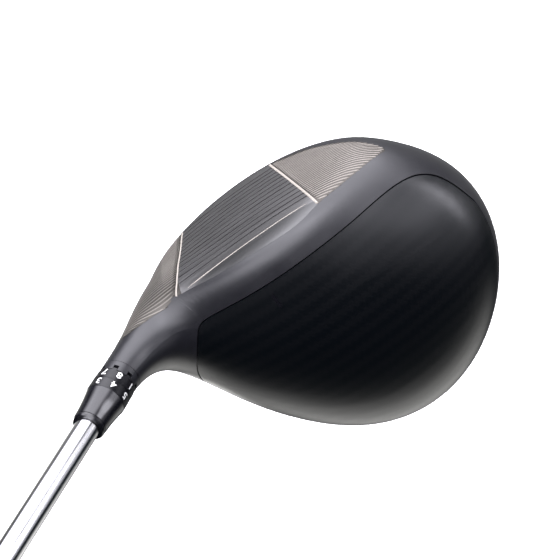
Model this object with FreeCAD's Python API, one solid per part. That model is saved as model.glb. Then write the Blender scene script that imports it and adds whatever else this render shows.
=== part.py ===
"""Golf driver, right handed, built as separate pieces in the address position.

Frame: the origin is where the shaft's axis meets the ground. +X runs from the toe towards the
heel, +Y away from the target (front to back of the head), +Z up. The face looks along -Y.
Lengths are millimetres. Distances called s are measured along the shaft's axis from the origin.
"""

import FreeCAD
import Part

import os
from math import atan2, cos, hypot, pi, radians, sin, sqrt

V = FreeCAD.Vector

# ---------------------------------------------------------------- driving dimensions
LIE = 59.0                      # shaft axis to the ground, degrees
CLUB_LENGTH = 1156.0            # along the axis, 45.5 in

# head shell
HEAD_CENTRE = V(-33, 26, 25)    # centre of the equator
PLAN_COS = (62.7, -1.6, -3.4, -1.4, 1.7)   # plan radius as a short Fourier series
PLAN_SIN = (0.0, 2.1, -5.4, 1.1, 0.3)
CROWN_HEIGHT, CROWN_POWER = 38.0, 2.1
SOLE_DEPTH, SOLE_POWER = 25.0, 2.2
FACE_CENTRE = V(-21.4, -12.0, 30.0)
LOFT = 9.3
BULGE_RADIUS = 330.0            # bulge and roll of the face
FACE_EDGE = 9.0                 # softness of the face's rim
NECK_RADIUS = 6.95              # at the hosel's end
NECK_END = 79.4                 # s of the hosel's end
NECK_FOOT = 46.0                # s where the neck is lost in the body
NECK_FLARE = 0.0034             # growth of the neck's radius with the square of the drop
NECK_LEAN_BACK = 0.0056         # lean of its foot towards the back, in the same way
NECK_BLEND = 35.0
NECK_LINE = 75.2                # s of the fine turned line near the neck's end

# shell walls
BODY_WALL = 1.4
CROWN_THICK = 0.9
BOND_THICK = 0.2
LEDGE_THICK = 1.0
LEDGE_WIDTH = 7.0
SEAM_GAP = 0.42                 # open groove round the crown panel
SEAM_HEIGHT = 36.8              # height of the crown seam round the back
FACE_THICK = 3.0
FACE_GAP = 0.05
GROOVE_WIDTH, GROOVE_DEPTH = 1.05, 0.28
GROOVE_PITCH = 2.75
GROOVE_LOW, GROOVE_COUNT = 13.5, 13

# hosel
BORE_RADIUS = 5.06
HOSEL_WALL_RADIUS = 7.6
SHELF_BOTTOM, SHELF_TOP = 27.0, 31.0
SCREW_PORT_RADIUS = 6.0
NOTCHES = 8
NOTCH_WIDTH, NOTCH_DEPTH = 1.9, 2.0
NOTCH_TURN = 5.5                # degrees that the notches are turned towards the face from the top
KEY_WIDTH, KEY_REACH = 1.6, 0.75

# adapter
SLEEVE_RADIUS = 5.0
SLEEVE_FOOT = 34.0
TIP_SEAT = 47.0
RING_SEAT = NECK_END + 0.15
RING_RADIUS = 7.12              # first number ring, beside the neck
RING_SPLIT = 84.0               # s where the second ring starts
RING_TOP_RADIUS = 7.3           # second number ring
RING_END = 88.6
SLEEVE_END = RING_END + 1.6
TIP_CLEAR = 0.1                 # room for the adhesive round the shaft's tip
FERRULE_END = 100.0
LIP_END = 101.5
LIP_RADIUS = 5.83

# screws
SCREW_SHANK = 2.5
SCREW_CLEAR = 0.08
SCREW_HEAD_RADIUS, SCREW_HEAD = 4.6, 4.0
WASHER, WASHER_RADIUS = 1.0, 5.2

# shaft
SHAFT_TIP_RADIUS = 4.26         # sanded down under the ferrule
SHAFT_LOW_RADIUS = 4.325
SHAFT_BUTT_RADIUS = 7.6
SHAFT_BUTT = 1150.0
TAPER_START, TAPER_END = 150.0, 960.0
SHAFT_WALL = 1.1
TIP_EXTRA_WALL, TIP_WALL_END = 0.3, 200.0

# grip
GRIP_START = 886.0
CAP_FOOT = CLUB_LENGTH - 7.0
GRIP_TAPE = 0.3
GRIP_LOW_RADIUS = 9.2
GRIP_HIGH_RADIUS = 13.0
CAP_RADIUS = 14.6
VENT_RADIUS = 1.6

# rear weight
WEIGHT_RADIUS = 9.0
WEIGHT_THICK = 7.0

# ---------------------------------------------------------------- axes
AXIS = V(cos(radians(LIE)), 0, sin(radians(LIE)))
BACK = V(0, 1, 0)
TOEWARD = AXIS.cross(BACK)      # square to the shaft, up and towards the toe
FACE_NORMAL = V(0, -cos(radians(LOFT)), sin(radians(LOFT)))
FACE_SPHERE = FACE_CENTRE - FACE_NORMAL * BULGE_RADIUS
ROWS_AROUND = 96


# ---------------------------------------------------------------- the head as a field
def plan_radius(dx, dy):
    """Radius of the head's outline in plan, in the direction (dx, dy)."""
    r = hypot(dx, dy)
    if r < 1e-9:
        return PLAN_COS[0]
    c1, s1 = dx / r, dy / r
    c, s, total = 1.0, 0.0, 0.0
    for a, b in zip(PLAN_COS, PLAN_SIN):
        total += a * c + b * s
        c, s = c * c1 - s * s1, s * c1 + c * s1
    return total


def soft(gap, width):
    """Rounding added where two surfaces meet, for a difference gap between them."""
    return max(width - abs(gap), 0.0) ** 3 / (6.0 * width * width)


def head_field(x, y, z):
    """Below zero inside the head: a flattened dome and bowl, cut by the bulged face, plus the neck."""
    dx, dy, dz = x - HEAD_CENTRE.x, y - HEAD_CENTRE.y, z - HEAD_CENTRE.z
    rho = hypot(dx, dy) / plan_radius(dx, dy)
    height, power = (CROWN_HEIGHT, CROWN_POWER) if dz > 0 else (SOLE_DEPTH, SOLE_POWER)
    shell = (((abs(dz) / height) ** power + rho ** power) ** (1.0 / power) - 1.0) * 45.0
    face = sqrt((x - FACE_SPHERE.x) ** 2 + (y - FACE_SPHERE.y) ** 2
                + (z - FACE_SPHERE.z) ** 2) - BULGE_RADIUS
    body = max(shell, face) + soft(shell - face, FACE_EDGE)
    s = x * AXIS.x + z * AXIS.z
    drop = max(NECK_END - s, 0.0) ** 2
    side = hypot(y - NECK_LEAN_BACK * drop, x * TOEWARD.x + z * TOEWARD.z)
    side -= NECK_RADIUS + NECK_FLARE * drop
    foot = NECK_FOOT - s
    neck = max(side, foot) + soft(side - foot, 10.0)
    return min(body, neck) - soft(body - neck, NECK_BLEND)


def surface_point(origin, direction):
    """Where a ray from inside the head leaves it."""
    def f(t):
        return head_field(origin.x + direction.x * t, origin.y + direction.y * t,
                          origin.z + direction.z * t)
    low, f_low, high = 0.0, f(0.0), 4.0
    f_high = f(high)
    while f_high < 0:
        low, f_low = high, f_high
        high += 4.0
        f_high = f(high)
    for _ in range(12):
        t = low + (high - low) * f_low / (f_low - f_high)
        t = min(max(t, low + 0.02 * (high - low)), high - 0.02 * (high - low))
        value = f(t)
        if abs(value) < 1e-6:
            break
        if value < 0:
            low, f_low = t, value
        else:
            high, f_high = t, value
    return origin + direction * t


def surface_normal(p):
    """Outward normal of the head at a point on its skin."""
    e = 0.02
    g = V(head_field(p.x + e, p.y, p.z) - head_field(p.x - e, p.y, p.z),
          head_field(p.x, p.y + e, p.z) - head_field(p.x, p.y - e, p.z),
          head_field(p.x, p.y, p.z + e) - head_field(p.x, p.y, p.z - e))
    return g.normalize()


# Stations from the hosel's end to the toe: ray origin, tilt of the ring of rays in degrees
# (LIE on the neck, 0 in the body), opening of the ring (90 is a flat section, 180 the toe's pole)
# and the number of steps to the next station.
STATIONS = [
    (AXIS * NECK_END, LIE, 90, 4),
    (AXIS * 67 + V(0, 1, 0), LIE, 90, 5),
    (AXIS * 54 + V(0, 3, -1), 56, 88, 5),
    (V(17, 9, 35), 42, 76, 6),
    (V(4, 15, 29), 24, 66, 6),
    (V(-10, 19, 27), 8, 74, 6),
    (V(-26, 22, 27), 0, 88, 6),
    (V(-44, 25, 27), 0, 96, 6),
    (V(-58, 29, 27), 0, 112, 6),
    (V(-66, 33, 27), 0, 136, 6),
    (V(-69, 35, 27), 0, 180, 0),
]


def blend4(a, b, c, d, t):
    """Catmull-Rom value between b and c."""
    return (b * 2 + (c - a) * t + (a * 2 - b * 5 + c * 4 - d) * t ** 2
            + (b * 3 - a - c * 3 + d) * t ** 3) * 0.5


def ray_rings():
    """The rings of skin points and their normals, from the neck to the toe's pole."""
    rings = []
    last = len(STATIONS) - 1
    for i in range(last):
        quad = [STATIONS[min(max(k, 0), last)] for k in (i - 1, i, i + 1, i + 2)]
        for step in range(quad[1][3]):
            t = step / quad[1][3]
            origin = blend4(quad[0][0], quad[1][0], quad[2][0], quad[3][0], t)
            tilt = radians(blend4(quad[0][1], quad[1][1], quad[2][1], quad[3][1], t))
            cone = radians(blend4(quad[0][2], quad[1][2], quad[2][2], quad[3][2], t))
            if i == 0:
                tilt, cone = radians(LIE), pi / 2
                origin = AXIS * (NECK_END + (67 - NECK_END) * t) + V(0, t, 0)
            rings.append(ring(origin, tilt, cone))
    rings[0] = [(p, (n - AXIS * n.dot(AXIS)).normalize()) for p, n in rings[0]]
    pole = surface_point(STATIONS[-1][0], V(-1, 0, 0))
    rings.append([(pole, surface_normal(pole))] * ROWS_AROUND)
    return rings


def ring(origin, tilt, cone):
    ahead = V(cos(tilt), 0, sin(tilt))
    up = V(-sin(tilt), 0, cos(tilt))
    points = []
    for k in range(ROWS_AROUND):
        a = 2 * pi * k / ROWS_AROUND
        ray = ahead * cos(cone) + (up * cos(a) + BACK * sin(a)) * sin(cone)
        p = surface_point(origin, ray)
        points.append((p, surface_normal(p)))
    return points


# ---------------------------------------------------------------- interpolating surface
def solve_tridiagonal(lower, diagonal, upper, right):
    n = len(right)
    c, d = [0.0] * n, [None] * n
    c[0], d[0] = upper[0] / diagonal[0], right[0] * (1.0 / diagonal[0])
    for i in range(1, n):
        m = diagonal[i] - lower[i] * c[i - 1]
        c[i] = upper[i] / m
        d[i] = (right[i] - d[i - 1] * lower[i]) * (1.0 / m)
    for i in range(n - 2, -1, -1):
        d[i] = d[i] - d[i + 1] * c[i]
    return d


def closed_poles(points):
    """Poles of the uniform periodic cubic through points."""
    n, poles = len(points), list(points)
    for _ in range(40):
        poles = [(points[i] * 6 - poles[i - 1] - poles[(i + 1) % n]) * 0.25 for i in range(n)]
    return poles


def clamped_poles(points, start, end):
    """Poles of the uniform clamped cubic through points with the given end derivatives."""
    n = len(points)
    first, second = points[0], points[0] + start * (1 / 3)
    last, before = points[-1], points[-1] - end * (1 / 3)
    size = n - 2
    lower, diagonal, upper = [1 / 6] * size, [4 / 6] * size, [1 / 6] * size
    right = list(points[1:-1])
    diagonal[0] = diagonal[-1] = 7 / 12
    right[0] = right[0] - second * 0.25
    right[-1] = right[-1] - before * 0.25
    return [first, second] + solve_tridiagonal(lower, diagonal, upper, right) + [before, last]


def tube_solid(rings):
    """A solid whose skin passes through rings, flat at the first ring and closed at a pole."""
    half = ROWS_AROUND // 2
    rings = [closed_poles(r) for r in rings[:-1]] + [rings[-1]]
    columns = []
    for k in range(ROWS_AROUND):
        line = [r[k] for r in rings]
        start = (line[1] * 4 - line[0] * 3 - line[2]) * 0.5
        end = (rings[-2][(k + half) % ROWS_AROUND] - line[-2]) * 0.5
        columns.append(clamped_poles(line, start, end))
    columns = columns[-1:] + columns[:-1]
    rows = [list(row) for row in zip(*columns)]
    count = len(rings)
    skin = Part.BSplineSurface()
    skin.buildFromPolesMultsKnots(
        rows, [4] + [1] * (count - 2) + [4], [1] * (ROWS_AROUND + 1),
        [float(i) for i in range(count)], [float(i) for i in range(ROWS_AROUND + 1)],
        False, True, 3, 3)
    side = Part.Face(skin)
    rim = [e for e in side.Edges if not e.Degenerated
           and abs(e.CenterOfMass.dot(AXIS) - NECK_END) < 0.6]
    lid = Part.Face(Part.Wire(rim))
    shell = Part.makeShell([side, lid])
    shell.sewShape()
    solid = Part.makeSolid(Part.Shell(shell.Faces))
    if solid.Volume < 0:
        solid.reverse()
    return solid


def head_solid(rings, depth):
    """The head's solid, its skin moved inwards by depth."""
    return tube_solid([[p - n * depth for p, n in r] for r in rings])


# ---------------------------------------------------------------- helpers on the shaft's axis
def place(shape):
    """Stand a shape made along +Z onto the shaft's axis."""
    shape.rotate(V(0, 0, 0), V(0, 1, 0), 90 - LIE)
    return shape


def turned(profile, curved=()):
    """A body of revolution about the shaft's axis, from (radius, s) points.

    The points of curved continue the profile as one smooth edge.
    """
    corners = [V(r, 0, s) for r, s in profile + list(curved[:1]) + ([] if curved else profile[:1])]
    edges = Part.makePolygon(corners).Edges
    if curved:
        edges.append(smooth_edge([V(r, 0, s) for r, s in curved]))
        edges.append(Part.makeLine(V(curved[-1][0], 0, curved[-1][1]), corners[0]))
    return place(Part.Face(Part.Wire(edges)).revolve(V(0, 0, 0), V(0, 0, 1), 360))


def rod(radius, low, high):
    return place(Part.makeCylinder(radius, high - low, V(0, 0, low)))


def collar(inner, outer, low, high):
    """A plain ring about the shaft's axis."""
    return turned([(inner, low), (outer, low), (outer, high), (inner, high)])


def lobed_socket(radius, depth, top, lobes=6):
    """A six-lobed driver socket along Z, its mouth at z = top."""
    wave = 0.13 * radius
    points = [V((radius + wave * cos(lobes * a)) * cos(a), (radius + wave * cos(lobes * a)) * sin(a), top)
              for a in (2 * pi * k / 72 for k in range(72))]
    curve = Part.BSplineCurve()
    curve.interpolate(Points=points, PeriodicFlag=True)
    return Part.Face(Part.Wire(curve.toShape())).extrude(V(0, 0, depth))


# ---------------------------------------------------------------- outlines
# Front edge of the crown seam in plan, from the heel side round to the toe side.
SEAM = [(40, 66), (30, 46), (25.6, 33.5), (21.1, 21.6), (15.0, 13.1), (10.9, 7.9), (8.6, 5.8), (6.1, 4.9),
        (2.2, 4.7), (-17, 5.0), (-40, 5.2), (-58, 5.8), (-73, 6.8), (-79.5, 8.5), (-84.8, 11.4),
        (-89.0, 15.8), (-94.8, 31), (-97.5, 44), (-103, 66)]
# Rim of the grooved face in the X-Z plane: the top from heel to toe, then the bottom back again.
FACE_TOP = [(14.8, 45.0), (9.2, 48.8), (3.3, 50.4), (-2.2, 52.1), (-30.0, 57.2),
            (-43.9, 55.6), (-50.4, 52.8), (-60.0, 48.7), (-76.2, 37.7), (-79.7, 34.2)]
FACE_LOW = [(-79.9, 32.4), (-77.2, 29.6), (-62.7, 19.4), (-57.6, 16.0), (-46.5, 11.0),
            (-16.0, 9.8), (13.4, 22.0), (15.6, 30.0), (15.9, 38.0)]


def smooth_edge(points):
    curve = Part.BSplineCurve()
    curve.interpolate(Points=points)
    return curve.toShape()


def moved_in(outline, distance):
    """An open 2-D line moved to its left by distance."""
    out = []
    for i, (x, y) in enumerate(outline):
        x0, y0 = outline[max(i - 1, 0)]
        x1, y1 = outline[min(i + 1, len(outline) - 1)]
        length = hypot(x1 - x0, y1 - y0)
        out.append((x + (y1 - y0) / length * distance, y - (x1 - x0) / length * distance))
    return out


def crown_cutter(inset):
    """Everything inside the crown seam, the seam moved inwards by inset."""
    line = [V(x, y, 0) for x, y in moved_in(SEAM, inset)]
    edges = [smooth_edge(line), Part.makeLine(line[-1], V(-140, 150, 0)),
             Part.makeLine(V(-140, 150, 0), V(80, 150, 0)), Part.makeLine(V(80, 150, 0), line[0])]
    face = Part.Face(Part.Wire(edges))
    face.translate(V(0, 0, SEAM_HEIGHT + inset))
    return face.extrude(V(0, 0, 60))


def face_cutter(grow):
    """Prism along Y through the grooved face, its outline grown by grow."""
    centre = (-30, 32)

    def out(p):
        dx, dz = p[0] - centre[0], p[1] - centre[1]
        r = hypot(dx, dz)
        return V(p[0] + dx / r * grow, -40, p[1] + dz / r * grow)
    top, low = [out(p) for p in FACE_TOP], [out(p) for p in FACE_LOW]
    edges = [smooth_edge(top), Part.makeLine(top[-1], low[0]), smooth_edge(low),
             Part.makeLine(low[-1], top[0])]
    return Part.Face(Part.Wire(edges)).extrude(V(0, 50, 0))


def divider_x(end, z):
    """x of the line that ends the grooves towards the toe or the heel, at height z."""
    (z0, x0), (z1, x1) = end
    return x0 + (x1 - x0) * (z - z0) / (z1 - z0)


TOE_DIVIDER = ((9.5, -41.4), (52.3, -50.9))     # (z, x) of its two ends
HEEL_DIVIDER = ((12.9, -0.2), (49.0, 7.0))


def score_lines(outer, floor):
    """Shallow level grooves across the middle of the face, between the two dividers."""
    bars = []
    for k in range(GROOVE_COUNT):
        z = GROOVE_LOW + GROOVE_PITCH * k
        toe, heel = divider_x(TOE_DIVIDER, z) + 0.5, divider_x(HEEL_DIVIDER, z) - 0.5
        bars.append(Part.makeBox(heel - toe, 50, GROOVE_WIDTH, V(toe, -40, z - GROOVE_WIDTH / 2)))
    layer = outer.cut(floor)
    return layer.common(Part.makeCompound(bars))


# ---------------------------------------------------------------- head
def build_head(parts):
    rings = ray_rings()
    outer = head_solid(rings, 0)
    wall = head_solid(rings, BODY_WALL)
    crown_inner = head_solid(rings, CROWN_THICK)
    ledge_outer = head_solid(rings, CROWN_THICK + BOND_THICK)
    ledge_inner = head_solid(rings, CROWN_THICK + BOND_THICK + LEDGE_THICK)
    face_inner = head_solid(rings, FACE_THICK)

    seam = crown_cutter(0)
    window = crown_cutter(LEDGE_WIDTH)
    under_seam = crown_cutter(-1.5)

    # face plate and the opening it is welded into
    plate_zone = face_cutter(0)
    parts["face_plate"] = outer.common(plate_zone).cut(face_inner)
    parts["face_plate"] = parts["face_plate"].cut(score_lines(outer, head_solid(rings, GROOVE_DEPTH)))
    opening = outer.common(face_cutter(FACE_GAP)).cut(head_solid(rings, FACE_THICK + FACE_GAP))

    # crown panel and the adhesive that holds it on the ledge
    parts["crown_panel"] = outer.common(crown_cutter(SEAM_GAP)).cut(crown_inner)
    parts["crown_bond"] = (crown_inner.common(crown_cutter(SEAM_GAP + 0.3)).cut(ledge_outer)
                           .cut(crown_cutter(LEDGE_WIDTH - 0.5)))

    # hollow of the head: thin walls, thicker behind the face's rim and under the crown's ledge
    face_rim = face_cutter(5)
    hollow = wall.cut(under_seam).fuse(ledge_inner.common(under_seam))
    hollow = hollow.cut(face_rim).fuse(
        head_solid(rings, FACE_THICK + 1.2).common(face_rim))
    hollow = hollow.cut(rod(HOSEL_WALL_RADIUS, 0, NECK_END + 5))

    # weight port at the back of the skirt
    port = port_axis()
    frame = port_frame(*port)
    boss = frame(Part.makeCylinder(WEIGHT_RADIUS + 2.2, 16, V(0, 0, -11)))
    hollow = hollow.cut(boss)

    body = outer.cut(outer.common(seam).cut(ledge_outer))
    body = body.cut(hollow).cut(window)
    body = body.cut(opening)
    # screw port in the sole, shelf, and the bore for the adapter
    body = body.cut(rod(SCREW_PORT_RADIUS, -5, SHELF_BOTTOM))
    body = body.cut(rod(SCREW_SHANK + 0.35, SHELF_BOTTOM - 1, SHELF_TOP + 1))
    body = body.cut(rod(BORE_RADIUS, SHELF_TOP, NECK_END + 5))
    body = body.cut(collar(NECK_RADIUS - 0.05, 9.5, NECK_LINE, NECK_LINE + 0.18))
    for k in range(NOTCHES):
        body = body.cut(tooth(k, NOTCH_WIDTH, NECK_END - NOTCH_DEPTH, NECK_END + 2, BORE_RADIUS - 1, 9))
    pocket = frame(Part.makeCylinder(WEIGHT_RADIUS + 0.12, 14, V(0, 0, -WEIGHT_THICK)))
    pocket = pocket.fuse(frame(Part.makeCylinder(2.06, 12, V(0, 0, -WEIGHT_THICK - 3.2))))
    body = body.cut(pocket)
    parts["head_body"] = body
    build_weight(parts, frame, rings)


def tooth(k, width, low, high, inner, outer):
    """A radial block of a toothed joint, k eighths of a turn round from near the top."""
    block = Part.makeBox(outer - inner, width, high - low, V(inner, -width / 2, low))
    block.rotate(V(0, 0, 0), V(0, 0, 1), 180 + NOTCH_TURN + 360 * k / NOTCHES)
    return place(block)


def port_axis():
    """Centre of the weight port on the skin and its outward direction."""
    origin = V(-33, 30, 24)
    p = surface_point(origin, V(0, cos(radians(-12)), sin(radians(-12))))
    n = surface_normal(p)
    return p, n


def port_frame(centre, normal):
    turn = FreeCAD.Rotation(V(0, 0, 1), normal)

    def apply(shape):
        shape.Placement = FreeCAD.Placement(centre, turn).multiply(shape.Placement)
        return shape
    return apply


def build_weight(parts, frame, rings):
    """Screw-in weight: a disc whose outside follows the skirt, and its countersunk screw."""
    disc = frame(Part.makeCylinder(WEIGHT_RADIUS, 14, V(0, 0, -WEIGHT_THICK + 0.3)))
    disc = disc.common(head_solid(rings, 0.15))
    hole = frame(Part.makeCylinder(2.1, 20, V(0, 0, -10)).fuse(
        Part.makeCylinder(4.0, 20, V(0, 0, -3.4))))
    parts["rear_weight"] = disc.cut(hole)
    head = Part.makeCylinder(3.9, 2.4, V(0, 0, -3.3)).fuse(
        Part.makeCylinder(2.0, 7.3, V(0, 0, -10.0)))
    head = head.cut(lobed_socket(2.0, 1.8, -2.3))
    parts["rear_weight_screw"] = frame(head)


# ---------------------------------------------------------------- adapter, screw and shaft
def shaft_radius(s):
    t = max(0.0, min((s - TAPER_START) / (TAPER_END - TAPER_START), 1.0))
    return SHAFT_LOW_RADIUS + (SHAFT_BUTT_RADIUS - SHAFT_LOW_RADIUS) * t


def build_rings(parts):
    """The two number rings: the first keys into the neck, the second into the first."""
    bore = SLEEVE_RADIUS + 0.02
    edge = 0.25
    first = turned([(bore, RING_SEAT), (RING_RADIUS - edge, RING_SEAT), (RING_RADIUS, RING_SEAT + edge),
                    (RING_RADIUS + 0.08, RING_SPLIT - 0.16), (RING_RADIUS - 0.08, RING_SPLIT),
                    (bore, RING_SPLIT)])
    second = turned([(bore, RING_SPLIT + 0.02), (RING_TOP_RADIUS - 0.2, RING_SPLIT + 0.02),
                     (RING_TOP_RADIUS - 0.06, RING_SPLIT + 0.2), (RING_TOP_RADIUS, RING_END - 0.2),
                     (RING_TOP_RADIUS - 0.2, RING_END), (bore, RING_END)])
    for k in range(NOTCHES):
        first = first.fuse(tooth(k, KEY_WIDTH, RING_SEAT - KEY_REACH, RING_SEAT + 1,
                                 SLEEVE_RADIUS + 0.3, RING_RADIUS - 0.12))
        first = first.cut(tooth(k, KEY_WIDTH, RING_SPLIT - 1, RING_SPLIT + 1, bore - 1, 6.3))
        second = second.fuse(tooth(k, KEY_WIDTH - 0.1, RING_SPLIT - 0.9, RING_SPLIT + 1, bore + 0.3, 6.2))
    parts["loft_ring"] = first.removeSplitter()
    parts["lie_ring"] = second.removeSplitter()


def build_adapter(parts):
    """The sleeve that is bonded to the shaft's tip and drawn down by the hosel screw."""
    thread = SCREW_SHANK + SCREW_CLEAR
    socket = SHAFT_TIP_RADIUS + TIP_CLEAR
    foot_edge = 0.6
    parts["adapter_sleeve"] = turned([
        (thread, SLEEVE_FOOT), (SLEEVE_RADIUS - foot_edge, SLEEVE_FOOT),
        (SLEEVE_RADIUS, SLEEVE_FOOT + foot_edge), (SLEEVE_RADIUS, SLEEVE_END),
        (socket, SLEEVE_END), (socket, TIP_SEAT), (thread, TIP_SEAT)])
    parts["tip_bond"] = collar(SHAFT_TIP_RADIUS, socket, TIP_SEAT + 1, SLEEVE_END - 0.2)


def ferrule_radius(s):
    """A straight taper from the second ring to the lip, slightly hollow in its middle."""
    low, high = RING_TOP_RADIUS - 0.1, LIP_RADIUS + 0.06
    t = (s - RING_END) / (FERRULE_END - RING_END)
    return low + (high - low) * t - 0.18 * sin(pi * t)


def build_ferrule(parts):
    start, bore = RING_END + 0.02, SHAFT_TIP_RADIUS + 0.12
    counterbore, step = SLEEVE_RADIUS + 0.02, SLEEVE_END + 0.1
    levels = [start + (FERRULE_END - start) * k / 6 for k in range(7)]
    parts["ferrule"] = turned([(bore, FERRULE_END), (bore, step), (counterbore, step), (counterbore, start)],
                              [(ferrule_radius(s), s) for s in levels])
    bore = SHAFT_TIP_RADIUS + 0.08
    parts["ferrule_lip"] = turned([
        (bore, FERRULE_END + 0.02), (LIP_RADIUS - 0.1, FERRULE_END + 0.02), (LIP_RADIUS, FERRULE_END + 0.2),
        (LIP_RADIUS, LIP_END - 0.5), (LIP_RADIUS - 0.35, LIP_END), (bore, LIP_END)])


def build_shaft(parts):
    """Tapered tube, thicker at its tip, with a plug that keeps the adhesive out of it."""
    taper = [TAPER_START + (TAPER_END - TAPER_START) * k / 3 for k in range(4)]
    outside = [(SHAFT_TIP_RADIUS, TIP_SEAT + 1), (SHAFT_TIP_RADIUS, LIP_END + 0.1),
               (SHAFT_LOW_RADIUS, LIP_END + 0.4)]
    outside += [(shaft_radius(s), s) for s in taper + [SHAFT_BUTT]]
    inside = [(max(r - SHAFT_WALL - (TIP_EXTRA_WALL if s < TIP_WALL_END else 0), 2.6), s)
              for r, s in reversed(outside)]
    parts["shaft"] = turned(outside + inside)
    plug = inside[-1][0] - 0.02
    parts["tip_plug"] = rod(plug, TIP_SEAT + 1.2, TIP_SEAT + 16)


def build_screw(parts):
    """Captive hosel screw, its washer below the shelf, and the clip that keeps it in the head."""
    under = SHELF_BOTTOM - 0.1
    head_top = under - WASHER - 0.1
    screw = Part.makeCylinder(SCREW_HEAD_RADIUS, SCREW_HEAD, V(0, 0, head_top - SCREW_HEAD))
    screw = screw.makeChamfer(0.4, [e for e in screw.Edges if hasattr(e.Curve, "Radius")])
    screw = screw.fuse(Part.makeCylinder(SCREW_SHANK, 45 - head_top, V(0, 0, head_top)))
    screw = screw.cut(lobed_socket(2.6, 2.8, head_top - SCREW_HEAD - 0.01))
    groove = Part.makeCylinder(SCREW_SHANK + 1, 0.9, V(0, 0, SHELF_TOP + 0.25)).cut(
        Part.makeCylinder(SCREW_SHANK - 0.35, 0.9, V(0, 0, SHELF_TOP + 0.25)))
    parts["hosel_screw"] = place(screw.cut(groove).removeSplitter())
    parts["screw_washer"] = collar(SCREW_SHANK + 0.1, WASHER_RADIUS, under - WASHER, under)
    clip = Part.makeCylinder(4.4, 0.7, V(0, 0, SHELF_TOP + 0.35)).cut(
        Part.makeCylinder(SCREW_SHANK - 0.33, 0.7, V(0, 0, SHELF_TOP + 0.35)))
    clip = clip.cut(Part.makeBox(6, 3.4, 2, V(0, -1.7, SHELF_TOP)))
    parts["screw_clip"] = place(clip)


def grip_radius(s):
    """Outside of the rubber grip, which thickens faster towards the butt."""
    t = (s - GRIP_START) / (CAP_FOOT - GRIP_START)
    return GRIP_LOW_RADIUS + (GRIP_HIGH_RADIUS - GRIP_LOW_RADIUS) * t ** 1.25


def build_grip(parts):
    """Tape on the shaft's butt, the rubber sleeve over it, and the cap with its vent hole."""
    tape_start = GRIP_START + 4
    levels = [tape_start, TAPER_END, SHAFT_BUTT]
    parts["grip_tape"] = turned([(shaft_radius(s) + 0.01, s) for s in levels]
                                + [(shaft_radius(s) + GRIP_TAPE, s) for s in reversed(levels)])

    gap, mouth = GRIP_TAPE + 0.02, GRIP_START + 3.5
    bore = [(shaft_radius(s) + gap, s) for s in (CAP_FOOT, TAPER_END, mouth)]
    bore += [(shaft_radius(s) + 0.02, s) for s in (mouth, GRIP_START)]
    foot = [(GRIP_LOW_RADIUS - 0.8, GRIP_START)]
    levels = [GRIP_START + (CAP_FOOT - GRIP_START) * k / 6 for k in range(1, 7)]
    outside = [(GRIP_LOW_RADIUS, GRIP_START + 0.8)] + [(grip_radius(s), s) for s in levels]
    parts["grip_sleeve"] = turned(bore + foot, outside)

    socket, floor = SHAFT_BUTT_RADIUS + gap, SHAFT_BUTT + 0.05
    start = CAP_FOOT + 0.02
    parts["grip_cap"] = turned([
        (socket, start), (GRIP_HIGH_RADIUS, start), (CAP_RADIUS - 0.5, CAP_FOOT + 2.2),
        (CAP_RADIUS, CAP_FOOT + 3.6), (CAP_RADIUS - 0.3, CAP_FOOT + 5.6), (CAP_RADIUS - 2.6, CLUB_LENGTH),
        (VENT_RADIUS, CLUB_LENGTH), (VENT_RADIUS, floor), (socket, floor)])


def main():
    parts = {}
    build_head(parts)
    build_rings(parts)
    build_adapter(parts)
    build_ferrule(parts)
    build_shaft(parts)
    build_screw(parts)
    build_grip(parts)
    os.makedirs("parts", exist_ok=True)
    for name, shape in parts.items():
        solids = shape.Solids
        print(name, len(solids), "solids", shape.isValid(), round(shape.Volume / 1000, 3), "cm3",
              "Z", round(shape.BoundBox.ZMin, 1), round(shape.BoundBox.ZMax, 1))
        shape = solids[0] if len(solids) == 1 else shape
        shape.exportStep("parts/" + name + ".step")


main()
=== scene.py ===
from math import cos, pi, radians, sin

import bpy
import bmesh
import numpy as np
from mathutils import Matrix, Vector


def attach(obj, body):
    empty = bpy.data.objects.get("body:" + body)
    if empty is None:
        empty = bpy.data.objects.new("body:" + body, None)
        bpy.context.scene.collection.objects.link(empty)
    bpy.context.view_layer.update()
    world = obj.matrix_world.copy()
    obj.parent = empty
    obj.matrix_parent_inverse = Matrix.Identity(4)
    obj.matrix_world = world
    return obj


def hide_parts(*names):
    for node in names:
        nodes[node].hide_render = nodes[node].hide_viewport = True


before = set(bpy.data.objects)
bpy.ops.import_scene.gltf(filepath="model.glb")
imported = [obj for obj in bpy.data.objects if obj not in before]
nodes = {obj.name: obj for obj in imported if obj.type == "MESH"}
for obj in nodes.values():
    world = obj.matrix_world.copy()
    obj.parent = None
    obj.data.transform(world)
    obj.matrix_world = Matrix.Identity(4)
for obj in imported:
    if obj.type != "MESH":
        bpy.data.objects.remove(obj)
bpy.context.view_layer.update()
MM = 0.001

# ------------------------------------------------------------------ the club's frame, in millimetres
# +X towards the heel, +Y away from the target, +Z up; s is measured along the shaft's axis.
LIE = radians(59.0)
AXIS = np.array([cos(LIE), 0.0, sin(LIE)])
BACK = np.array([0.0, 1.0, 0.0])
TOEWARD = np.cross(AXIS, BACK)
NECK_END = 79.4
NOTCH_TURN = 5.5        # degrees that the rings' keys are turned towards the face from the top
GRIP_START, GRIP_FOOT = 886.0, 1149.0
GRIP_LOW_RADIUS, GRIP_HIGH_RADIUS, GRIP_BORE = 9.2, 13.0, 7.4

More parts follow.
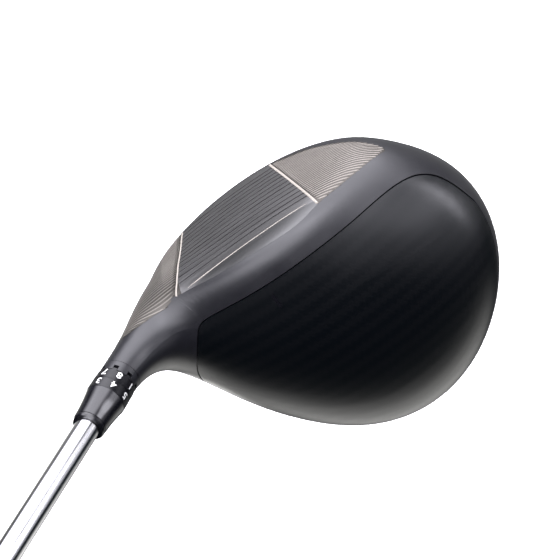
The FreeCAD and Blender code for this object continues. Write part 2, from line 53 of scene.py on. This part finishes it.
# ------------------------------------------------------------- the head's skin as a field, in millimetres
HEAD_CENTRE = np.array([-33.0, 26.0, 25.0])
PLAN_COS = (62.7, -1.6, -3.4, -1.4, 1.7)
PLAN_SIN = (0.0, 2.1, -5.4, 1.1, 0.3)
CROWN_HEIGHT, CROWN_POWER = 38.0, 2.1
SOLE_DEPTH, SOLE_POWER = 25.0, 2.2
LOFT = radians(9.3)
FACE_CENTRE = np.array([-21.4, -12.0, 30.0])
BULGE_RADIUS = 330.0
FACE_SPHERE = FACE_CENTRE - BULGE_RADIUS * np.array([0, -cos(LOFT), sin(LOFT)])
FACE_EDGE = 9.0
NECK_RADIUS, NECK_FOOT = 6.95, 46.0
NECK_FLARE, NECK_LEAN_BACK, NECK_BLEND = 0.0034, 0.0056, 35.0


def soft(gap, width):
    return np.maximum(width - np.abs(gap), 0.0) ** 3 / (6.0 * width * width)


def head_field(p):
    """Below zero inside the head, for an array of points."""
    d = p - HEAD_CENTRE
    phi = np.arctan2(d[..., 1], d[..., 0])
    plan = sum(a * np.cos(k * phi) + b * np.sin(k * phi)
               for k, (a, b) in enumerate(zip(PLAN_COS, PLAN_SIN)))
    rho = np.hypot(d[..., 0], d[..., 1]) / plan
    above = d[..., 2] > 0
    height = np.where(above, CROWN_HEIGHT, SOLE_DEPTH)
    power = np.where(above, CROWN_POWER, SOLE_POWER)
    shell = (((np.abs(d[..., 2]) / height) ** power + rho ** power) ** (1 / power) - 1) * 45
    face = np.linalg.norm(p - FACE_SPHERE, axis=-1) - BULGE_RADIUS
    body = np.maximum(shell, face) + soft(shell - face, FACE_EDGE)
    s = p @ AXIS
    drop = np.maximum(NECK_END - s, 0) ** 2
    side = np.hypot(p[..., 1] - NECK_LEAN_BACK * drop, p @ TOEWARD) - NECK_RADIUS - NECK_FLARE * drop
    foot = NECK_FOOT - s
    neck = np.maximum(side, foot) + soft(side - foot, 10.0)
    return np.minimum(body, neck) - soft(body - neck, NECK_BLEND)


def normals(p):
    e = 0.02
    g = np.stack([head_field(p + step) - head_field(p - step) for step in np.eye(3) * e], -1)
    return g / np.linalg.norm(g, axis=-1, keepdims=True)


def on_skin(origin, direction, reach=70.0):
    """Where rays that start outside the head first meet it."""
    origin, direction = np.broadcast_arrays(np.asarray(origin, float), np.asarray(direction, float))
    t = np.zeros(origin.shape[:-1])
    for _ in range(160):
        p = origin + direction * t[..., None]
        t = np.minimum(t + np.clip(head_field(p) * 0.7, -2.0, 4.0), reach)
    return origin + direction * t[..., None]


def on_face(x, z, lift=0.0):
    """Points of the skin in front of (x, z), raised by lift."""
    x, z = np.broadcast_arrays(np.asarray(x, float), np.asarray(z, float))
    p = on_skin(np.stack([x, np.full_like(x, -24.0), z], -1), BACK)
    return p + normals(p) * np.asarray(lift, float)[..., None]


# ------------------------------------------------------------------ mesh helpers
def make_mesh(name, verts, faces, mat, smooth=True, body="head"):
    """A mesh from points in millimetres, riding on a body."""
    mesh = bpy.data.meshes.new(name)
    mesh.from_pydata((np.asarray(verts) * MM).tolist(), [], faces)
    mesh.materials.append(mat)
    mesh.polygons.foreach_set("use_smooth", [smooth] * len(mesh.polygons))
    mesh.update()
    obj = bpy.data.objects.new(name, mesh)
    bpy.context.collection.objects.link(obj)
    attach(obj, body)
    return obj


def grid_faces(rows, columns, start=0, closed=False):
    """Quads of a grid of points; closed joins its last column to its first."""
    faces = []
    for i in range(rows - 1):
        for j in range(columns if closed else columns - 1):
            a, b = start + i * columns + j, start + i * columns + (j + 1) % columns
            faces.append((a, b, b + columns, a + columns))
    return faces


def ribbon(path, width, height, sink=0.05):
    """A raised line on the face: path is (x, z) points. Returns its points and faces."""
    path = np.asarray(path, float)
    along = np.gradient(path, axis=0)
    along /= np.linalg.norm(along, axis=1, keepdims=True)
    across = np.stack([-along[:, 1], along[:, 0]], -1)
    half = np.broadcast_to(np.asarray(width, float) / 2, len(path))[:, None]
    profile = [(-1.0, -sink), (-0.8, height), (0.8, height), (1.0, -sink)]
    columns = []
    for reach, lift in profile:
        q = path + across * half * reach
        columns.append(on_face(q[:, 0], q[:, 1], np.full(len(q), lift)))
    verts = np.stack(columns, 1).reshape(-1, 3)
    last = (len(path) - 1) * 4
    return verts, grid_faces(len(path), 4) + [(0, 1, 2, 3), (last + 3, last + 2, last + 1, last)]


def join(parts):
    """One list of points and faces from several."""
    verts, faces, start = [], [], 0
    for v, f in parts:
        verts.append(v)
        faces += [tuple(start + i for i in face) for face in f]
        start += len(v)
    return np.concatenate(verts), faces


def between(table, value):
    """Linear value from a short table of (key, value) points."""
    keys, values = zip(*table)
    return float(np.interp(value, keys, values))


# ------------------------------------------------------------------ material helpers
class Surface:
    """A Principled material and short calls for the nodes that vary it. Places are in millimetres."""

    def __init__(self, name, color, roughness, metallic=0.0, **sockets):
        self.mat = bpy.data.materials.new(name)
        self.mat.use_nodes = True
        self.tree = self.mat.node_tree
        self.shader = self.tree.nodes["Principled BSDF"]
        self.color = color
        self.roughness = roughness
        self.shader.inputs["Base Color"].default_value = (*color, 1)
        self.shader.inputs["Roughness"].default_value = roughness
        self.shader.inputs["Metallic"].default_value = metallic
        for key, value in sockets.items():
            self.shader.inputs[key.replace("_", " ")].default_value = value
        coord = self.tree.nodes.new("ShaderNodeTexCoord")
        self.place = self.vector("SCALE", coord.outputs["Object"], scale=1000.0)
        self.height = None

    def put(self, socket, value):
        if isinstance(value, bpy.types.NodeSocket):
            self.tree.links.new(value, socket)
        else:
            socket.default_value = value

    def math(self, operation, *values, clamp=False):
        node = self.tree.nodes.new("ShaderNodeMath")
        node.operation = operation
        node.use_clamp = clamp
        for socket, value in zip(node.inputs, values):
            self.put(socket, value)
        return node.outputs[0]

    def vector(self, operation, *values, scale=None):
        node = self.tree.nodes.new("ShaderNodeVectorMath")
        node.operation = operation
        for socket, value in zip(node.inputs, values):
            self.put(socket, value)
        if scale is not None:
            node.inputs["Scale"].default_value = scale
        return node.outputs["Value" if operation in ("DOT_PRODUCT", "LENGTH") else "Vector"]

    def along(self, direction):
        """Distance along a direction, in millimetres."""
        return self.vector("DOT_PRODUCT", self.place, tuple(direction))

    def combine(self, x, y, z):
        node = self.tree.nodes.new("ShaderNodeCombineXYZ")
        for socket, value in zip(node.inputs, (x, y, z)):
            self.put(socket, value)
        return node.outputs[0]

    def noise(self, size, detail=2.0, place=None, stretch=None):
        """Noise from 0 to 1 with grains about size millimetres across."""
        place = self.place if place is None else place
        if stretch:
            place = self.vector("MULTIPLY", place, stretch)
        node = self.tree.nodes.new("ShaderNodeTexNoise")
        node.inputs["Scale"].default_value = 1.0 / size
        node.inputs["Detail"].default_value = detail
        self.tree.links.new(place, node.inputs["Vector"])
        return node.outputs["Fac"]

    def span(self, value, low, high, to_low, to_high, smooth=True):
        node = self.tree.nodes.new("ShaderNodeMapRange")
        node.interpolation_type = "SMOOTHSTEP" if smooth else "LINEAR"
        for key, item in zip(("Value", "From Min", "From Max", "To Min", "To Max"),
                             (value, low, high, to_low, to_high)):
            self.put(node.inputs[key], item)
        return node.outputs[0]

    def mix(self, factor, first, second):
        node = self.tree.nodes.new("ShaderNodeMix")
        node.data_type = "RGBA"
        self.put(node.inputs[0], factor)
        self.put(node.inputs[6], first if isinstance(first, bpy.types.NodeSocket) else (*first, 1))
        self.put(node.inputs[7], second if isinstance(second, bpy.types.NodeSocket) else (*second, 1))
        return node.outputs[2]

    def set_color(self, factor, first, second):
        self.put(self.shader.inputs["Base Color"], self.mix(factor, first, second))

    def set_roughness(self, value, low, high):
        self.put(self.shader.inputs["Roughness"], self.span(value, 0.3, 0.7, low, high, smooth=False))

    def bump(self, height, depth):
        """Relief depth millimetres deep where height runs from 0 to 1; calls stack up."""
        node = self.tree.nodes.new("ShaderNodeBump")
        node.inputs["Distance"].default_value = depth * MM
        self.put(node.inputs["Height"], height)
        if self.height is not None:
            self.tree.links.new(self.height, node.inputs["Normal"])
        self.height = node.outputs[0]
        self.put(self.shader.inputs["Normal"], self.height)

    def straight(self, key, low, high):
        """The straight line through two (key, value) points."""
        slope = (high[1] - low[1]) / (high[0] - low[0])
        return self.math("MULTIPLY_ADD", key, slope, low[1] - low[0] * slope)

    def turned(self):
        """Coordinates that are finely lined round the shaft's axis."""
        return self.combine(0.0, 0.0, self.along(AXIS))

    def lengthwise(self):
        """Coordinates drawn out along the shaft's axis."""
        u, v = self.along(TOEWARD), self.along(BACK)
        return self.combine(u, v, self.math("MULTIPLY", self.along(AXIS), 0.02))


def satin_paint(name, color, roughness):
    """Sprayed satin paint: faint orange peel and slightly uneven sheen."""
    m = Surface(name, color, roughness)
    grain = m.noise(2.2, 3.0)
    m.set_color(grain, [c * 0.8 for c in color], [c * 1.25 for c in color])
    m.set_roughness(m.noise(9.0, 2.0), roughness - 0.02, roughness + 0.04)
    m.bump(m.noise(0.9, 2.0), 0.004)
    return m.mat


def carbon_laminate(name, dark, light, tow=1.9):
    """Twill-woven carbon under a satin coat, its tows running at 45 degrees in plan."""
    m = Surface(name, dark, 0.3)
    across = m.vector("DOT_PRODUCT", m.place, (0.7071 / tow, 0.7071 / tow, 0))
    down = m.vector("DOT_PRODUCT", m.place, (-0.7071 / tow, 0.7071 / tow, 0))
    step = m.math("ADD", m.math("FLOOR", across), m.math("FLOOR", down))
    over = m.math("LESS_THAN", m.math("FLOORED_MODULO", step, 4.0), 2.0)
    warp = m.math("ABSOLUTE", m.math("SINE", m.math("MULTIPLY", across, pi)))
    weft = m.math("ABSOLUTE", m.math("SINE", m.math("MULTIPLY", down, pi)))
    swell = m.math("ADD", m.math("MULTIPLY", over, warp),
                   m.math("MULTIPLY", m.math("SUBTRACT", 1.0, over), weft))
    m.set_color(over, dark, light)
    m.put(m.shader.inputs["Roughness"], m.span(over, 0.0, 1.0, 0.30, 0.32, smooth=False))
    m.bump(swell, 0.0009)
    m.bump(m.noise(0.5, 2.0), 0.0015)
    return m.mat


def brushed_face():
    """Machined face metal: dark in the middle, brighter where it is etched at the toe and the heel."""
    m = Surface("face_metal", FACE_DARK, 0.36, 0.9)
    x, z = m.along((1, 0, 0)), m.along((0, 0, 1))
    toe = m.math("LESS_THAN", x, m.straight(z, *TOE_DIVIDER))
    heel = m.math("GREATER_THAN", x, m.straight(z, *HEEL_DIVIDER[:2]))
    streaks = m.noise(0.5, 3.0, stretch=(0.03, 0.03, 1.0))
    cloud = m.noise(14.0, 2.0)
    middle = m.mix(streaks, [c * 0.8 for c in FACE_DARK], [c * 1.2 for c in FACE_DARK])
    strip = m.span(z, 50.4, 51.2, 0.0, 1.0)
    middle = m.mix(strip, middle, FACE_STRIP)
    etched = m.mix(toe, m.mix(heel, middle, HEEL_GROUND), TOE_GROUND)
    m.set_color(m.math("MULTIPLY", cloud, 0.12), etched, (0.03, 0.03, 0.03))
    m.set_roughness(streaks, 0.32, 0.42)
    m.bump(streaks, 0.006)
    return m.mat


def lined_metal(name, color, roughness, metallic=0.7):
    """The raised etched lines: bright metal with a fine lengthwise grain."""
    m = Surface(name, color, roughness, metallic)
    grain = m.noise(0.6, 3.0, stretch=(0.08, 0.08, 1.0))
    m.set_color(grain, [c * 0.82 for c in color], [min(c * 1.15, 1.0) for c in color])
    m.set_roughness(m.noise(3.0), roughness - 0.04, roughness + 0.06)
    m.bump(grain, 0.004)
    return m.mat


def enamel(name, color, roughness=0.45):
    """A thin coat of light filling paint."""
    m = Surface(name, color, roughness)
    grain = m.noise(0.7, 3.0)
    m.set_color(grain, [c * 0.9 for c in color], color)
    m.bump(grain, 0.006)
    return m.mat


def turned_metal(name, color, roughness, metallic=1.0, lines=0.12, depth=0.004, **sockets):
    """Turned and anodised or blackened metal: fine rings round the shaft's axis."""
    m = Surface(name, color, roughness, metallic, **sockets)
    rings = m.noise(lines, 2.0, place=m.turned())
    m.set_color(rings, [c * 0.75 for c in color], [min(c * 1.2, 1.0) for c in color])
    m.set_roughness(m.noise(1.6), roughness - 0.03, roughness + 0.05)
    m.bump(rings, depth)
    return m.mat


def polished_black(name, roughness):
    """Polished cellulose: hair scratches along the club and a few faint smudges."""
    color = (0.003, 0.003, 0.004)
    m = Surface(name, color, roughness, IOR=1.52)
    scratches = m.noise(0.16, 2.0, place=m.lengthwise())
    m.set_color(m.noise(1.5), color, [c * 1.8 for c in color])
    m.set_roughness(m.noise(2.5, 3.0), roughness, roughness + 0.06)
    m.bump(scratches, 0.0012)
    return m.mat


def silver_shaft():
    """Bright silver coating: long soft streaks, and faint rings left by the lathe."""
    color = (0.80, 0.80, 0.815)
    m = Surface("shaft_silver", color, 0.17, 1.0)
    streaks = m.noise(0.55, 3.0, place=m.lengthwise())
    m.set_color(streaks, [c * 0.86 for c in color], color)
    m.set_roughness(streaks, 0.13, 0.24)
    m.bump(streaks, 0.003)
    m.bump(m.noise(0.5, 2.0, place=m.turned()), 0.0008)
    return m.mat


def blasted_steel(name, color, roughness=0.42):
    """Bead-blasted metal with fine pits and a slight tarnish."""
    m = Surface(name, color, roughness, 1.0)
    m.set_color(m.noise(3.5, 3.0), [c * 0.7 for c in color], [c * 1.15 for c in color])
    m.set_roughness(m.noise(0.8, 2.0), roughness - 0.06, roughness + 0.1)
    m.bump(m.noise(0.28, 2.0), 0.012)
    return m.mat


def rubber(name, color=(0.012, 0.012, 0.0125), roughness=0.58):
    """Moulded rubber with a dusty, pebbled skin."""
    m = Surface(name, color, roughness)
    dust = m.noise(7.0, 4.0)
    m.set_color(dust, color, [c * 1.9 for c in color])
    m.set_roughness(m.noise(2.0, 3.0), roughness - 0.06, roughness + 0.12)
    m.bump(m.noise(0.35, 2.0), 0.03)
    return m.mat


def moulded(name, color, roughness, grain=0.5, depth=0.01):
    """Moulded plastic, adhesive or tape: a slightly mottled colour and a soft grain."""
    m = Surface(name, color, roughness)
    m.set_color(m.noise(grain * 5, 3.0), [c * 0.8 for c in color], color)
    m.set_roughness(m.noise(grain * 3), roughness - 0.05, roughness + 0.08)
    m.bump(m.noise(grain, 3.0), depth)
    return m.mat


def paint(obj, mat):
    if not obj.material_slots:
        obj.data.materials.append(mat)
    for slot in obj.material_slots:
        slot.material = mat


# Places on the face that its material and its lines share: (z, x), low end first.
TOE_DIVIDER = [(9.5, -41.4), (52.3, -50.9)]
HEEL_DIVIDER = [(13, -0.2), (40.3, 5.1), (45.5, 6.8), (49, 9.1)]
FACE_DARK, FACE_STRIP = (0.140, 0.138, 0.137), (0.078, 0.078, 0.078)
TOE_GROUND, HEEL_GROUND = (0.060, 0.055, 0.049), (0.060, 0.056, 0.050)

LOOKS = {
    "head_body": satin_paint("body_black", (0.006, 0.006, 0.008), 0.33),
    "face_plate": brushed_face(),
    "crown_panel": carbon_laminate("crown_carbon", (0.0004, 0.0009, 0.0017), (0.0010, 0.0014, 0.0022)),
    "crown_bond": moulded("bond_black", (0.003, 0.003, 0.003), 0.6),
    "rear_weight": blasted_steel("weight_steel", (0.20, 0.20, 0.21)),
    "rear_weight_screw": blasted_steel("weight_screw_steel", (0.10, 0.10, 0.11), 0.32),
    "hosel_screw": turned_metal("hosel_screw_steel", (0.22, 0.22, 0.23), 0.3),
    "screw_washer": turned_metal("washer_alloy", (0.55, 0.55, 0.56), 0.3),
    "screw_clip": moulded("clip_nylon", (0.78, 0.77, 0.73), 0.45),
    "loft_ring": turned_metal("ring_black", (0.004, 0.004, 0.005), 0.22, 0.0, IOR=1.33),
    "lie_ring": turned_metal("ring_black_two", (0.004, 0.004, 0.005), 0.20, 0.0, IOR=1.36),
    "adapter_sleeve": turned_metal("sleeve_black", (0.006, 0.006, 0.006), 0.4, 0.0, IOR=1.25),
    "tip_bond": moulded("epoxy_amber", (0.55, 0.48, 0.30), 0.3),
    "ferrule": polished_black("ferrule_black", 0.09),
    "ferrule_lip": polished_black("lip_black", 0.14),
    "shaft": silver_shaft(),
    "tip_plug": moulded("plug_grey", (0.25, 0.25, 0.25), 0.5),
    "grip_tape": moulded("tape_cream", (0.78, 0.75, 0.66), 0.7, 1.2, 0.03),
    "grip_sleeve": rubber("grip_core_black"),
    "grip_cap": rubber("cap_black"),
}
for name, mat in LOOKS.items():
    paint(nodes[name], mat)

LINES = lined_metal("etched_line_toe", (0.175, 0.160, 0.142), 0.42)
LINES_HEEL = lined_metal("etched_line_heel", (0.150, 0.139, 0.124), 0.45)
PATCH = lined_metal("etched_ground_heel", HEEL_GROUND, 0.40, 0.9)
LIGHT = enamel("line_enamel", (0.27, 0.245, 0.215))
NUMBERS = enamel("number_enamel", (0.60, 0.60, 0.59))
MARK = polished_black("mark_gloss_black", 0.06)
RUBBER = rubber("grip_rubber_black")

# ------------------------------------------------------------------ the face's etched lines
LINE_PITCH = 1.16
TOE_LEVELS, HEEL_LEVELS = (10.0, 52.0), (13.4, 53.4)      # heights of the first line and of the limit
BAR_PLACE, BAR_LENGTH, BAR_WIDTH = (-20.0, 12.0), 5.5, 1.2
# Ends of the toe's lines: (z, x) along the lower edge and back along the top one.
TOE_END = [(9.5, -42), (12, -47), (16, -57.6), (25.7, -72.1), (30, -78), (32.6, -80), (37.7, -76.2),
           (43.8, -68.6), (48.7, -60), (52.2, -51.6)]
# Ends of the heel's lines towards the neck, and where they start once they have passed the divider.
HEEL_END = [(13, 3.5), (16, 13), (20, 19), (26, 25), (33, 30), (40, 33.5), (46, 36), (50, 36.5), (53.5, 35.5)]
HEEL_START = HEEL_DIVIDER + [(50, 20), (53.8, 31)]
TOP_LINE = [(3.8, 49.7), (-3.9, 50.3), (-11, 50.6), (-28, 50.75), (-47.6, 50.2)]


def level_line(x0, x1, z, width, height):
    count = max(4, int(abs(x1 - x0) / 1.5))
    x = np.linspace(x0, x1, count)
    return ribbon(np.stack([x, np.full(count, z)], -1), width, height)


def add_face_lines():
    toe = []
    for z in np.arange(*TOE_LEVELS, LINE_PITCH):
        end, start = between(TOE_END, z), between(TOE_DIVIDER, z) - 0.9
        if start - end > 1.0:
            toe.append(level_line(end, start, z, 0.56, 0.06))
    make_mesh("toe_lines", *join(toe), LINES)
    heel = []
    for z in np.arange(*HEEL_LEVELS, LINE_PITCH):
        start, end = between(HEEL_START, z) + 0.8, between(HEEL_END, z)
        if end - start > 1.0:
            heel.append(level_line(start, end, z, 0.5, 0.1))
    make_mesh("heel_lines", *join(heel), LINES_HEEL)
    for name, divider, width in (("toe_divider", TOE_DIVIDER, 0.95), ("heel_divider", HEEL_DIVIDER, 0.7)):
        z = np.linspace(divider[0][0], divider[-1][0], 40)
        x = [between(divider, level) for level in z]
        make_mesh(name, *ribbon(np.stack([x, z], -1), width, 0.09), LIGHT)
    x = np.linspace(TOP_LINE[0][0], TOP_LINE[-1][0], 50)
    z = [between(TOP_LINE[::-1], value) for value in x]
    taper = 0.42 * np.clip(np.minimum(4.3 - x, x + 48.1) / 5, 0.25, 1)
    make_mesh("top_line", *ribbon(np.stack([x, z], -1), taper, 0.06), LIGHT)


def add_heel_patch():
    """The etched finish carried from the face's heel edge onto the neck."""
    rows, columns = 90, 40
    z = np.linspace(13.2, 53.6, rows)
    points = []
    for level in z:
        start = max(between(HEEL_START, level), 11.5)
        end = between(HEEL_END, level) + 1.0
        start = min(start, end - 0.2)
        points.append(np.stack([np.linspace(start, end, columns), np.full(columns, level)], -1))
    q = np.array(points)
    verts = on_face(q[..., 0], q[..., 1], np.full(q.shape[:2], 0.05)).reshape(-1, 3)
    make_mesh("heel_etching", verts, grid_faces(rows, columns), PATCH)


def add_crown_bar():
    """A plain short gloss bar near the crown's front seam, a generic aiming mark."""
    along = np.linspace(-BAR_LENGTH / 2, BAR_LENGTH / 2, 12)
    across = np.linspace(-BAR_WIDTH / 2, BAR_WIDTH / 2, 5)
    u, v = np.meshgrid(across, along, indexing="ij")
    top = np.stack([BAR_PLACE[0] + u, BAR_PLACE[1] + v, np.full_like(u, 80.0)], -1)
    verts = on_skin(top, np.array([0.0, 0.0, -1.0]))
    verts = verts + normals(verts) * 0.06
    make_mesh("crown_bar", verts.reshape(-1, 3), grid_faces(5, 12), MARK)


# ------------------------------------------------------------------ numbers on the ring
NUMBER_ROWS = ((81.35, 7.19), (86.1, 7.27))        # place along the axis and the ring's radius there
NUMBER_HEIGHT = 2.6


def number_mesh(text, height):
    """Flat filled outline of a number, centred, in millimetres."""
    data = bpy.data.curves.new("number", "FONT")
    data.body = text
    data.size = height / 0.7
    data.align_x, data.align_y = "CENTER", "CENTER"
    data.offset = 0.035 * height
    data.resolution_u = 6
    obj = bpy.data.objects.new("number", data)
    bpy.context.collection.objects.link(obj)
    mesh = bpy.data.meshes.new_from_object(obj.evaluated_get(bpy.context.evaluated_depsgraph_get()))
    bpy.data.objects.remove(obj)
    bpy.data.curves.remove(data)
    bm = bmesh.new()
    bm.from_mesh(mesh)
    bpy.data.meshes.remove(mesh)
    for cut in np.arange(-3, 3.01, 0.3):
        geometry = bm.verts[:] + bm.edges[:] + bm.faces[:]
        bmesh.ops.bisect_plane(bm, geom=geometry, plane_co=(cut, 0, 0), plane_no=(1, 0, 0), dist=1e-5)
    bm.verts.index_update()
    verts = np.array([v.co[:] for v in bm.verts])
    faces = [tuple(v.index for v in f.verts) for f in bm.faces]
    bm.free()
    verts[:, 1] -= (verts[:, 1].max() + verts[:, 1].min()) / 2
    verts[:, 0] -= (verts[:, 0].max() + verts[:, 0].min()) / 2
    return verts, faces


def on_ring(angle, s, radius):
    """Points round the shaft's axis; angle 0 is the top, growing towards the back."""
    out = np.outer(np.cos(angle), TOEWARD) + np.outer(np.sin(angle), BACK)
    return out * np.reshape(radius, (-1, 1)) + np.outer(s, AXIS)


def add_ring_numbers():
    parts = []
    for row, (s0, radius) in enumerate(NUMBER_ROWS):
        for k in range(8):
            verts, faces = number_mesh(str((k + 4 * row) % 8 + 1), NUMBER_HEIGHT)
            centre = radians(22.5 - NOTCH_TURN + 45 * k)
            angle = centre - verts[:, 0] / radius
            s = s0 + verts[:, 1]
            parts.append((on_ring(angle, s, np.full(len(s), radius + 0.035)), [f[::-1] for f in faces]))
    make_mesh("ring_numbers", *join(parts), NUMBERS, smooth=False, body="shaft_assembly")


# ------------------------------------------------------------------ rubber grip
GRIP_TURNS, GRIP_PITCH = 20, 4.2           # crossing grooves round the grip and their spacing along it
GRIP_PANEL, GRIP_CARVED = 66, 28           # length of a carved panel with its plain band; its half length


def add_grip():
    rows, around = 560, 160
    s = np.linspace(GRIP_START, GRIP_FOOT, rows)
    t = (s - GRIP_START) / (GRIP_FOOT - GRIP_START)
    radius = GRIP_LOW_RADIUS + (GRIP_HIGH_RADIUS - GRIP_LOW_RADIUS) * t ** 1.25
    angle = np.linspace(0, 2 * pi, around, endpoint=False)
    S, A = np.meshgrid(s, angle, indexing="ij")
    lean, climb = A * GRIP_TURNS / 2, S * pi / GRIP_PITCH
    ridge = np.maximum(np.abs(np.sin(lean + climb)), np.abs(np.sin(lean - climb)))
    carved = -0.28 * (ridge < 0.62)
    from_middle = np.abs((S - GRIP_START) % GRIP_PANEL - GRIP_PANEL / 2)
    band = (from_middle > GRIP_CARVED) | (S < GRIP_START + 8) | (S > GRIP_FOOT - 6)
    ring_cut = -0.22 * (np.abs(from_middle - GRIP_CARVED) < 0.5)
    R = radius[:, None] + np.where(band, 0.0, carved) + ring_cut - 0.02
    R[:2] -= 0.5
    bore = np.full((1, around), GRIP_BORE)
    R, S, A = np.vstack([bore, R, bore]), np.vstack([S[:1], S, S[-1:]]), np.vstack([A[:1], A, A[-1:]])
    out = np.cos(A)[..., None] * TOEWARD + np.sin(A)[..., None] * BACK
    verts = (out * R[..., None] + S[..., None] * AXIS).reshape(-1, 3)
    faces = [f[::-1] for f in grid_faces(rows + 2, around, closed=True)]
    grip = make_mesh("grip_skin", verts, faces, RUBBER, body="shaft_assembly")
    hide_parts("grip_sleeve")
    return grip


add_face_lines()
add_heel_patch()
add_crown_bar()
add_ring_numbers()
add_grip()

# ------------------------------------------------------------------ studio
FLOOR_Z = -0.45
# Soft boxes seen from the club: azimuth (0 is the target side, positive towards the heel), elevation,
# half width and half height in degrees, radiance and tint.
COOL, WARM = (0.975, 0.965, 1.05), (1.0, 0.99, 0.96)
SOFT_BOXES = [
    (-29, -3, 32, 41, 6.3, COOL),
    (2, 49, 39, 23, 6.1, COOL),
    (9, 12, 16, 12, 6.8, COOL),
    (-90, 4, 21, 5, 7.8, COOL),
    (-83, 31, 13, 25, 1.95, COOL),
    (-105, 14, 20, 36, 0.64, COOL),
    (-51, 74, 53, 11, 0.4, COOL),
    (97, -48, 23, 16, 10.7, WARM),
    (165, -17, 37, 23, 1.6, WARM),
    (0, -90, 70, 36, 0.36, WARM),
]
AMBIENT = (0.004, 0.008, 0.012)


def add_backdrop(mat):
    """A pale surround far behind everything, seen by the eye only."""
    bpy.ops.mesh.primitive_uv_sphere_add(segments=48, ring_count=24, radius=20, location=(0, 0, 0))
    dome = bpy.context.object
    dome.name = "backdrop"
    dome.data.materials.append(mat)
    dome.visible_diffuse = dome.visible_glossy = dome.visible_transmission = dome.visible_shadow = False


def add_floor():
    bpy.ops.mesh.primitive_plane_add(size=14, location=(0, 0, FLOOR_Z))
    floor = bpy.context.object
    floor.name = "floor"
    m = Surface("floor_pale", (0.9, 0.9, 0.9), 0.9, Emission_Color=(1, 1, 1, 1), Emission_Strength=1.0)
    m.set_color(m.noise(400.0), (0.88, 0.88, 0.88), (0.92, 0.92, 0.92))
    floor.data.materials.append(m.mat)
    floor.visible_glossy = floor.visible_shadow = False
    add_backdrop(m.mat)


def add_world():
    """A dark studio with soft boxes, each a soft-edged oval patch of light at a direction."""
    world = bpy.data.worlds.new("studio")
    bpy.context.scene.world = world
    world.use_nodes = True
    tree = world.node_tree
    coord = tree.nodes.new("ShaderNodeTexCoord")

    def node(kind, operation, *values):
        item = tree.nodes.new(kind)
        item.operation = operation
        for socket, value in zip(item.inputs, values):
            if isinstance(value, bpy.types.NodeSocket):
                tree.links.new(value, socket)
            else:
                socket.default_value = value
        return item.outputs["Value" if operation != "ADD" else 0]

    def along(direction, reach):
        return node("ShaderNodeVectorMath", "DOT_PRODUCT", coord.outputs["Generated"],
                    tuple(direction / np.sin(radians(reach))))

    total = AMBIENT
    for azimuth, elevation, wide, high, radiance, tint in SOFT_BOXES:
        a, e = radians(azimuth), radians(elevation)
        centre = np.array([sin(a) * cos(e), -cos(a) * cos(e), sin(e)])
        level = np.array([cos(a), sin(a), 0.0])
        x, y = along(level, wide), along(np.cross(centre, level), high)
        spread = node("ShaderNodeMath", "SQRT", node("ShaderNodeMath", "ADD",
                      node("ShaderNodeMath", "MULTIPLY", x, x), node("ShaderNodeMath", "MULTIPLY", y, y)))
        patch = tree.nodes.new("ShaderNodeMapRange")
        patch.interpolation_type = "SMOOTHSTEP"
        tree.links.new(spread, patch.inputs["Value"])
        for key, value in (("From Min", 0.65), ("From Max", 1.35), ("To Min", radiance), ("To Max", 0.0)):
            patch.inputs[key].default_value = value
        facing = node("ShaderNodeMath", "GREATER_THAN", along(centre, 90), 0.0)
        power = node("ShaderNodeMath", "MULTIPLY", patch.outputs[0], facing)
        tinted = tree.nodes.new("ShaderNodeVectorMath")
        tinted.operation = "SCALE"
        tinted.inputs[0].default_value = tint
        tree.links.new(power, tinted.inputs["Scale"])
        total = node("ShaderNodeVectorMath", "ADD", total, tinted.outputs[0])
    tree.links.new(total, tree.nodes["Background"].inputs["Color"])


VIEW_ANGLE = 23.3131
CAMERA_RIGHT, CAMERA_BACK = (-0.80778, 0.58168, 0.09557), (-0.14074, -0.34774, 0.92697)
CAMERA_SPOT = (-91.18, -156.05, 494.38)


def add_camera():
    data = bpy.data.cameras.new("camera")
    data.sensor_width = 36
    data.lens = 36 / (2 * np.tan(radians(VIEW_ANGLE) / 2))
    data.clip_start, data.clip_end = 0.01, 50
    cam = bpy.data.objects.new("camera", data)
    right, back = Vector(CAMERA_RIGHT).normalized(), Vector(CAMERA_BACK).normalized()
    up = back.cross(right).normalized()
    right = up.cross(back)
    spot = Vector(CAMERA_SPOT) * MM
    cam.matrix_world = Matrix((
        (right.x, up.x, back.x, spot.x), (right.y, up.y, back.y, spot.y),
        (right.z, up.z, back.z, spot.z), (0, 0, 0, 1)))
    bpy.context.collection.objects.link(cam)
    bpy.context.scene.camera = cam


add_floor()
add_world()
add_camera()
bpy.context.scene.view_settings.view_transform = "Standard"
